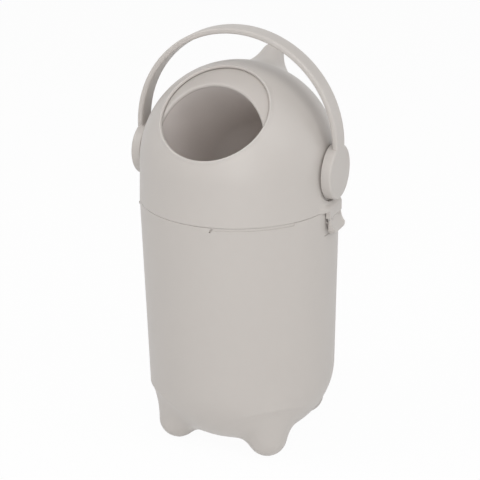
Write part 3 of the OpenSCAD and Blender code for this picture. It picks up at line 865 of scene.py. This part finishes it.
def shape_lid(p):
    """The rule that gives the plain sphere its skirt, horn, flat linings and bracket swells."""
    s = sizes()
    centre = np.array(axle())
    out = p - centre
    far = np.linalg.norm(out, axis=1)
    u = out / far[:, None]
    outer = far > s.dome - 1.2 * MM
    round_lip = math.radians(lip_place(s)[1] + 2.0)
    away = np.arccos(np.clip(u @ np.array(opening_axis()), -1, 1)) > round_lip
    made = p.copy()
    skin, lining = outer & away, ~outer & away
    made[skin] = centre + u[skin] * lid_radius(u[skin], 0)[:, None]
    made[lining] = centre + u[lining] * lid_radius(u[lining], s.wall)[:, None]
    local = made - centre
    off_axle = np.hypot(local[:, 1], local[:, 2])
    free = np.clip((off_axle - 41 * MM) / (4 * MM), 0, 1)
    limit = SEAT_X - 3.4 * MM + free * 12 * MM
    x = local[:, 0]
    made[lining, 0] = (np.sign(x) * np.minimum(np.abs(x), limit))[lining]
    return swell_brackets(made, skin)


def lid_piece():
    """The dome shaped from a sphere, cut off at the skirt, with pivot seats and clip brackets."""
    s = sizes()
    centre, horn = axle(), Vector(horn_axis())
    obj = lathe("lid_dome_shell", lid_outline(), centre, opening_axis(), X_AXIS, 288)
    refine(obj, lambda c: (c - centre).angle(horn) < HORN_SPREAD)
    low = s.axle_z - 30 * MM
    refine(obj, lambda c: abs(c.y) < 40 * MM and c.z < low and abs(c.x) > 90 * MM)
    bend(obj, shape_lid)
    edit(obj)
    bpy.ops.mesh.select_all(action="SELECT")
    plane = s.axle_z + SKIRT_LOW + SKIRT_EDGE
    bpy.ops.mesh.bisect(
        plane_co=(0, 0, plane), plane_no=(0, 0, 1), clear_inner=True, threshold=1e-6
    )
    rest()
    close_skirt(obj, plane)
    far = 150 * MM
    for name, radius, low, high, steps, operation in (
        ("pivot_seat", SEAT, 108 * MM, SEAT_X, 128, "UNION"),
        ("hub_pocket", POCKET, POCKET_X, far, 160, "DIFFERENCE"),
        ("pivot_boss", SEAT, 122 * MM, SEAT_X, 128, "UNION"),
        ("bush_bore", BUSH_BORE, 90 * MM, far, 64, "DIFFERENCE"),
    ):
        pair = [rod(name, radius, low, high, steps, centre, X_AXIS * side, Z_AXIS) for side in (1, -1)]
        combine(obj, join(*pair), operation)
    tab = bracket_tab()
    return combine(obj, join(tab, mirrored(tab, "clip_bracket_left")), "UNION")


def close_skirt(obj, plane):
    """Draws the skirt's two cut loops down to its rounded lower edge and bridges them."""
    s = sizes()
    mid = s.dome + SKIRT_SLOPE * 46 * MM - s.wall / 2

    def loop(outer):
        return lambda c: abs(c.z - plane) < 3e-6 and (math.hypot(c.x, c.y) > mid) == outer

    edit(obj)
    rounded = ((0.9, 0), (0.35, -0.08), (0.22, -0.18), (0.13, -0.3))
    for outer, steps in ((True, rounded), (False, ((SKIRT_EDGE / MM, 0),))):
        pick(obj, loop(outer))
        bpy.ops.mesh.remove_doubles(threshold=0.6 * MM)
        pick(obj, loop(outer))
        for drop, draw in steps:
            bpy.ops.mesh.extrude_region_move(TRANSFORM_OT_translate={"value": (0, 0, -drop * MM)})
            factor = 1 + draw * MM / s.rim
            bpy.ops.transform.resize(value=(factor, factor, 1), center_override=(0, 0, 0))
    low = plane - SKIRT_EDGE
    bpy.ops.mesh.select_mode(type="EDGE")
    pick(obj, lambda c: abs(c.z - low) < 4e-6, "edges")
    bpy.ops.mesh.bridge_edge_loops()
    tidy(obj, 1e-6)


def bracket_tab():
    """The part of a clip bracket that hangs below the skirt, with the two lugs for its pin."""
    s = sizes()
    pin_x, pin_z = pin_place()
    low, top = pin_z + KNUCKLE + CLIP_GAP, s.axle_z + SKIRT_LOW + 0.5 * MM
    inner, face = s.rim - 0.8 * MM, BRACKET_X - 0.02 * MM
    outline = []
    for y in np.linspace(-TAB_HALF, TAB_HALF, 41):
        skin = math.sqrt(s.rim**2 - y * y)
        outline.append((skin + (face - skin) * bracket_share(y), y))
    outline += [(inner, TAB_HALF), (inner, -TAB_HALF)]
    tab = trace("clip_bracket", [Vector((x, y, low)) for x, y in outline])
    join_ends(tab)
    bpy.ops.mesh.select_all(action="SELECT")
    bpy.ops.mesh.extrude_region_move(TRANSFORM_OT_translate={"value": (0, 0, top - low)})
    cap(tab)
    edit(tab, "EDGE")
    pick(tab, lambda c: abs(c.z - low) < 1e-6 and c.x > inner + MM, "edges")
    bpy.ops.mesh.bevel(offset=0.7 * MM, segments=3)
    rest()
    lug = arc(pin_x, pin_z, KNUCKLE, 180, 360, 12)
    lug += [(pin_x + LUG_NECK, pin_z + 1.7 * MM), (pin_x + LUG_NECK, pin_z + 3 * MM)]
    lug += [(pin_x - KNUCKLE, pin_z + 3 * MM)]
    for y in LUG_PLACES:
        combine(tab, prism("lug", lug, y - LUG_HALF, y + LUG_HALF), "UNION")
    return tab


# ---- ball ----

POLE_X = 118 * MM
POLE_WALL = 3 * MM
BALL_WALL = 2.6 * MM
CUP_WALL = 2.2 * MM
CUP_DRAFT = math.tan(math.radians(3))
CUP_END = 113.4 * MM
CUP_JOINT = 0.15 * MM
NECK = 1.2 * MM


def mouth_axis():
    """The way the ball's mouth faces with the handle upright."""
    tilt = sizes().mouth_tilt
    return Vector((0, -math.cos(tilt), math.sin(tilt)))


def flatten_poles(p):
    """The rule that presses both sides of the ball flat where the hubs drive it."""
    made = p.copy()
    deep = np.linalg.norm(p - np.array(axle()), axis=1) < sizes().ball - 1 * MM
    room = np.where(deep, POLE_X - POLE_WALL, POLE_X)
    made[:, 0] = np.clip(p[:, 0], -room, room)
    return made


def mouth_ring():
    """Where the mouth's rolled edge sits on the lathe's outline, and the cup's small end."""
    s = sizes()
    at = math.sqrt((s.ball - s.mouth_lip) ** 2 - s.mouth**2)
    cup = s.mouth - s.mouth_lip
    low = (cup - at * CUP_DRAFT - CUP_END) / (1 - CUP_DRAFT)
    return at, cup, low


def ball_front_piece():
    """The front half of the ball's skin, with the mouth's rolled edge and a short neck."""
    s = sizes()
    lip = s.mouth_lip
    at, cup, _ = mouth_ring()
    lip_angle = math.degrees(math.atan2(s.mouth, at))
    skin = s.ball - BALL_WALL
    start = math.degrees(math.asin((cup + CUP_WALL + 1.4 * MM) / skin))
    outline = sphere_arc(s.ball, 90, lip_angle, 56)
    outline += arc(s.mouth, at, lip, 90 - lip_angle, 180, 14)[1:]
    outline += [(cup, at - NECK), (cup + CUP_WALL, at - NECK)]
    outline += sphere_arc(skin, start, 90, 22)
    obj = lathe("ball_front_shell", outline, axle(), mouth_axis(), X_AXIS, 256)
    return bend(obj, flatten_poles)


def cup_piece():
    """The cup below the neck, with a drafted wall and a round end."""
    at, cup, low = mouth_ring()
    small, top = low + CUP_END, at - NECK - CUP_JOINT
    outline = [(0, low - small - CUP_WALL)]
    outline += arc(0, low, small + CUP_WALL, -90, 0, 18)[1:]
    walls = [(cup - (at - z) * CUP_DRAFT, z) for z in np.linspace(low, top, 22)]
    outline += [(r + CUP_WALL, z) for r, z in walls[1:]] + walls[::-1]
    outline += arc(0, low, small, 0, -90, 28)[1:-1] + [(0, low - small)]
    return lathe("nappy_cup_shell", outline, axle(), mouth_axis(), X_AXIS, 256)


def ball_back_piece():
    """The closed back half of the ball's skin."""
    s = sizes()
    outline = [(0, -s.ball)] + sphere_arc(s.ball, 180, 90, 64)[1:]
    skin = s.ball - BALL_WALL
    outline += sphere_arc(skin, 90, 180, 30)[:-1] + [(0, -skin)]
    obj = lathe("ball_back_shell", outline, axle(), mouth_axis(), X_AXIS, 224)
    return bend(obj, flatten_poles)


# ---- handle ----

ARCH_WIDEST = 32.6 * MM
ARCH_FLAT = 16.3 * MM
HUB_IN = 127.0 * MM
HUB_FACE = 140.2 * MM
HUB_EDGE = 3 * MM
BAND_EDGE = 2.6 * MM
SPIGOT = 11 * MM
SPIGOT_IN = 108 * MM


def handle_piece():
    """The arch, swept through three arcs, with a hub disc and spigot joined on at each end."""
    s = sizes()
    half = HUB_FACE + 0.4 * MM
    rise = s.arch_top - ARCH_WIDEST
    side_r = rise + ARCH_FLAT
    side_x = half - side_r
    top_r = (side_r**2 - side_x**2 - rise**2) / (2 * ARCH_FLAT)
    top_z = s.arch_top - top_r
    join_turn = math.atan2(top_z - ARCH_WIDEST, -side_x)
    leg_turn = math.asin(ARCH_WIDEST / side_r)
    centre = Vector((side_x, 0, s.axle_z + ARCH_WIDEST))
    radial = Vector((math.cos(leg_turn), 0, -math.sin(leg_turn)))
    outline = []
    for cx, cy, start in ((-1, -1, 180), (1, -1, 270), (1, 1, 0), (-1, 1, 90)):
        across = side_r - s.band / 2 + cx * (s.band / 2 - BAND_EDGE)
        along = cy * (s.band_width / 2 - BAND_EDGE)
        outline += arc(across, along, BAND_EDGE, start, start + 90, 6)
    arch = trace("handle_arch", [centre + radial * r + Vector((0, y, 0)) for r, y in outline])
    join_ends(arch)
    bpy.ops.mesh.select_all(action="SELECT")
    about = Vector((0, -1, 0))
    turns = (
        (centre, join_turn + leg_turn, 14),
        (Vector((0, 0, s.axle_z + top_z)), math.pi - 2 * join_turn, 132),
        (Vector((-centre.x, 0, centre.z)), join_turn + leg_turn, 14),
    )
    for middle, turn, steps in turns:
        bpy.ops.mesh.spin(steps=steps, angle=-turn, center=middle, axis=about)
    cap(arch)
    limit = HUB_FACE - 0.02 * MM
    bend(arch, lambda p: np.column_stack((np.clip(p[:, 0], -limit, limit), p[:, 1], p[:, 2])))
    hub = [(0, SPIGOT_IN), (SPIGOT, SPIGOT_IN), (SPIGOT, HUB_IN), (s.hub - 0.5 * MM, HUB_IN)]
    hub += [(s.hub, HUB_IN + 0.5 * MM)]
    hub += arc(s.hub - HUB_EDGE, HUB_FACE - HUB_EDGE, HUB_EDGE, 0, 90, 8)
    hub += [(0, HUB_FACE)]
    for sign in (1, -1):
        disc = lathe("hub", hub, axle(), X_AXIS * sign, Z_AXIS, 144)
        combine(arch, disc, "UNION")
    return arch


# ---- side clips ----

CLIP_REACH = 18.4 * MM
CLIP_FLARE = 5.4 * MM
CLIP_HOLLOW = 38 * MM
CLIP_LIP = 1.2 * MM
CLIP_BACK = 1.2 * MM
CLIP_CORNER = 5 * MM
PIN_BORE = 1.05 * MM


def clip_outline():
    """The right clip's section, as (x, z): hollow face, finger lip, flat back and knuckle."""
    pin_x, pin_z = pin_place()
    face, low = pin_x + KNUCKLE, pin_z - CLIP_REACH
    drop = CLIP_REACH - 2 * CLIP_LIP
    chord = math.hypot(drop, CLIP_FLARE)
    ratio = math.sqrt(CLIP_HOLLOW**2 - chord**2 / 4) / chord
    cx, cz = face + CLIP_FLARE / 2 + drop * ratio, pin_z - drop / 2 + CLIP_FLARE * ratio
    first = math.degrees(math.atan2(pin_z - cz, face - cx)) % 360
    last = math.degrees(math.atan2(low + 2 * CLIP_LIP - cz, face + CLIP_FLARE - cx)) % 360
    outline = arc(cx, cz, CLIP_HOLLOW, first, last, 14)
    outline += arc(face + CLIP_FLARE - CLIP_LIP, low + CLIP_LIP, CLIP_LIP, 45, -90, 8)
    back = pin_x - CLIP_BACK
    outline += [(back + 1.6 * MM, low), (back + 0.4 * MM, low + 0.4 * MM)]
    start, end = low + 1.6 * MM, pin_z - 1.6 * MM
    outline += [(back, start + (end - start) * k / 6) for k in range(7)]
    return outline + arc(pin_x, pin_z, KNUCKLE, -127, -350, 16)[1:]


def clip_piece():
    """The right clip: its section drawn out to its width, lower corners rounded, slots cut."""
    half = sizes().clip_width / 2
    pin_x, pin_z = pin_place()
    clip = prism("side_clip_right", clip_outline(), -half, half, 32)

    def round_corners(p):
        made = p.copy()
        into = np.clip(np.abs(p[:, 1]) - (half - CLIP_CORNER), 0, CLIP_CORNER)
        short = CLIP_CORNER - np.sqrt(np.maximum(CLIP_CORNER**2 - into**2, 0))
        below = np.clip((pin_z - p[:, 2]) / CLIP_REACH, 0, 1)
        made[:, 2] = p[:, 2] + short * below**1.5
        return made

    bend(clip, round_corners)
    edit(clip, "EDGE")
    pick(clip, lambda c: abs(abs(c.y) - half) < 1e-6, "edges")
    bpy.ops.mesh.bevel(offset=0.5 * MM, segments=3)
    rest()
    pin = Vector((pin_x, 0, pin_z))
    round_lug, room = KNUCKLE + CLIP_GAP, LUG_HALF + CLIP_GAP
    for y in LUG_PLACES:
        slot = rod("lug_slot", round_lug, y - room, y + room, 40, pin, Y_AXIS, Z_AXIS)
        combine(clip, slot, "DIFFERENCE")
    bore = rod("pin_bore", PIN_BORE, -half - MM, half + MM, 24, pin, Y_AXIS, Z_AXIS)
    return combine(clip, bore, "DIFFERENCE")


# ---- operators ----


class NAPPYBIN_OT_bucket(bpy.types.Operator):
    """Bucket with its rounded base, four feet, clip recesses, keepers, pry step and inside ribs"""

    bl_idname = "nappy_bin.bucket"
    bl_label = "Bucket"

    def execute(self, context):
        dress(bucket_piece(), "bucket", "shell", shell_plastic(), "bucket", soft=30)
        return {"FINISHED"}


class NAPPYBIN_OT_lid(bpy.types.Operator):
    """Domed lid with its rolled opening, horn, skirt, hub pockets and clip brackets"""

    bl_idname = "nappy_bin.lid"
    bl_label = "Lid"

    def execute(self, context):
        dress(lid_piece(), "lid", "shell", shell_plastic(), "lid_dome", soft=38)
        return {"FINISHED"}


class NAPPYBIN_OT_ball(bpy.types.Operator):
    """The turning ball: its front with the rolled mouth and the cup, and its plain back"""

    bl_idname = "nappy_bin.ball"
    bl_label = "Ball"

    def execute(self, context):
        inner = moulded_plastic("ball_plastic", tuple(colours().inner), 0.46)
        # Painted light: the cup gets a paler copy of the ball's plastic, standing in for light falling
        # into it.
        cup = moulded_plastic("cup_plastic", tuple(colours().cup), 0.46)
        dress(ball_front_piece(), "ball", "inner_shell", inner, "ball_front")
        dress(cup_piece(), "ball", "inner_shell", cup, "nappy_cup")
        dress(ball_back_piece(), "ball", "inner_shell", inner, "ball_back")
        return {"FINISHED"}


class NAPPYBIN_OT_handle(bpy.types.Operator):
    """Arched handle with its two hub discs and spigots"""

    bl_idname = "nappy_bin.handle"
    bl_label = "Handle"

    def execute(self, context):
        dress(handle_piece(), "ball", "shell", shell_plastic(), "handle", soft=32)
        return {"FINISHED"}


class NAPPYBIN_OT_clips(bpy.types.Operator):
    """The two side clips that hold the lid down"""

    bl_idname = "nappy_bin.clips"
    bl_label = "Side clips"

    def execute(self, context):
        right = clip_piece()
        left = mirrored(right, "side_clip_left")
        dress(right, "clip_right", "shell", shell_plastic(), "clip_right")
        dress(left, "clip_left", "shell", shell_plastic(), "clip_left")
        return {"FINISHED"}


class NAPPYBIN_OT_fittings(bpy.types.Operator):
    """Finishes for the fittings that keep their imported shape: seals, pads, ring, collar, pins"""

    bl_idname = "nappy_bin.fittings"
    bl_label = "Fittings"

    def execute(self, context):
        c = colours()
        shell = shell_plastic()
        rubber = soft_rubber("seal_rubber", tuple(c.seal))
        steel = drawn_steel("steel", tuple(c.steel))
        bush = bearing_plastic("bush_plastic", tuple(c.bush))
        for name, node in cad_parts.items():
            if name in ("bag_ring", "inner_collar"):
                give(node, shell)
            elif "seal" in name or "gasket" in name or "pad" in name:
                give(node, rubber)
            elif "bush" in name:
                give(node, bush)
            elif "screw" in name or "pin" in name or "retaining" in name:
                give(node, steel)
        return {"FINISHED"}


class NAPPYBIN_OT_stage(bpy.types.Operator):
    """Pale floor, soft studio light and the camera"""

    bl_idname = "nappy_bin.stage"
    bl_label = "Stage"

    def execute(self, context):
        build_floor()
        build_light()
        build_camera()
        return {"FINISHED"}


# ---- stage ----

FLOOR_WHITE = 0.96
WORLD_LIGHT = 0.30
LAMP_SIZE = 1.6
LAMP_DISTANCE = 3
LAMP_AIM = Vector((0, 0, 0.27))
# Name, azimuth and elevation in degrees, and watts
LAMPS = (
    ("front_low_softbox", 25, 12, 25),
    ("front_high_softbox", 25, 45, 13),
    ("left_softbox", -58, 42, 24),
    ("right_softbox", 78, 40, 17),
    ("back_softbox", 130, 12, 8),
    ("top_softbox", 0, 90, 10),
)
# The camera's turn in degrees, and its place in mm from the axle along its own axes
CAMERA_AZIMUTH = 24.977
CAMERA_ELEVATION = 21.579
CAMERA_ROLL = -0.886
CAMERA_BACK = 1809.013
CAMERA_RIGHT = -0.320
CAMERA_UP = -104.905


def shown_rays(g):
    """1 for the rays that show a surface or mirror it, 0 for those that light the object."""
    path = [g.node("ShaderNodeLightPath", output=k) for k in (0, 3, 6)]
    return g.node(
        "ShaderNodeMath", {"operation": "ADD", "use_clamp": True}, {0: path[0] + path[1], 1: path[2]}
    )


def away_from(azimuth, elevation):
    """The direction from the bin to a lamp or camera, the azimuth from the front to the right."""
    level = math.cos(elevation)
    return Vector((math.sin(azimuth) * level, -math.cos(azimuth) * level, math.sin(elevation)))


def build_floor():
    """A plain pale floor that shows white and keeps the bin's soft shadow."""
    rest()
    bpy.ops.mesh.primitive_plane_add(size=12)
    floor = bpy.context.object
    floor.name = "studio_floor"
    material, g = new_graph("studio_floor")
    pale = g.node(
        "ShaderNodeBsdfDiffuse", sockets={"Color": (*colours().floor, 1), "Roughness": 0.0}
    )
    white = g.node("ShaderNodeEmission", sockets={"Color": (1, 1, 1, 1), "Strength": 1.0})
    white_share = shown_rays(g) * FLOOR_WHITE
    surface = g.node("ShaderNodeMixShader", sockets={0: white_share, 1: pale, 2: white})
    g.node("ShaderNodeOutputMaterial", sockets={"Surface": surface})
    give(floor, material)


def build_light():
    """An even pale world that shows white, and soft lamps all round, brightest from the front."""
    world = bpy.data.worlds.new("studio")
    bpy.context.scene.world = world
    g = Graph(world)
    strength = shown_rays(g) * (1 - WORLD_LIGHT) + WORLD_LIGHT
    sky = g.node("ShaderNodeBackground", sockets={"Color": (1, 1, 1, 1), "Strength": strength})
    g.node("ShaderNodeOutputWorld", sockets={"Surface": sky})
    for name, azimuth, elevation, energy in LAMPS:
        away = away_from(math.radians(azimuth), math.radians(elevation))
        rest()
        bpy.ops.object.light_add(type="AREA", location=LAMP_AIM + away * LAMP_DISTANCE)
        lamp = bpy.context.object
        lamp.name = name
        lamp.data.shape = "SQUARE"
        lamp.data.size = LAMP_SIZE
        lamp.data.energy = energy
        lamp.rotation_euler = (-away).to_track_quat("-Z", "Y").to_euler()


def build_camera():
    """The camera, a long lens from the front right and a little above."""
    azimuth, elevation = math.radians(CAMERA_AZIMUTH), math.radians(CAMERA_ELEVATION)
    roll = math.radians(CAMERA_ROLL)
    right = Vector((math.cos(azimuth), math.sin(azimuth), 0))
    back = away_from(azimuth, elevation)
    up = back.cross(right)
    place = axle() + (back * CAMERA_BACK + right * CAMERA_RIGHT + up * CAMERA_UP) * MM
    turned = Matrix(
        (
            right * math.cos(roll) + up * math.sin(roll),
            up * math.cos(roll) - right * math.sin(roll),
            back,
        )
    ).transposed()
    rest()
    bpy.ops.object.camera_add(location=place, rotation=turned.to_euler())
    camera = bpy.context.object
    camera.data.sensor_width = 36
    camera.data.lens = 105
    camera.data.clip_start = 0.05
    camera.data.clip_end = 50
    bpy.context.scene.camera = camera


# ---- panel, registration and run ----

STEPS = (
    NAPPYBIN_OT_bucket,
    NAPPYBIN_OT_lid,
    NAPPYBIN_OT_ball,
    NAPPYBIN_OT_handle,
    NAPPYBIN_OT_clips,
    NAPPYBIN_OT_fittings,
    NAPPYBIN_OT_stage,
)


class NAPPYBIN_PT_panel(bpy.types.Panel):
    """Lists the steps that build the nappy bin"""

    bl_idname = "NAPPYBIN_PT_panel"
    bl_label = "Nappy Bin"
    bl_space_type = "VIEW_3D"
    bl_region_type = "UI"
    bl_category = "Nappy Bin"

    def draw(self, context):
        for step in STEPS:
            self.layout.operator(step.bl_idname)
        for group in (sizes(), colours()):
            box = self.layout.box()
            for key in group.__annotations__:
                box.prop(group, key)


CLASSES = (NappyBinSizes, NappyBinColours, *STEPS, NAPPYBIN_PT_panel)


def register():
    for item in CLASSES:
        bpy.utils.register_class(item)
    bpy.types.Scene.nappy_bin_sizes = PointerProperty(type=NappyBinSizes)
    bpy.types.Scene.nappy_bin_colours = PointerProperty(type=NappyBinColours)


def unregister():
    del bpy.types.Scene.nappy_bin_sizes
    del bpy.types.Scene.nappy_bin_colours
    for item in reversed(CLASSES):
        bpy.utils.unregister_class(item)


def main():
    """Builds everything in order."""
    register()
    bpy.context.scene.view_settings.view_transform = "Standard"
    for step in STEPS:
        group, name = step.bl_idname.split(".")
        getattr(getattr(bpy.ops, group), name)()
    rest()


if __name__ == "__main__":
    main()
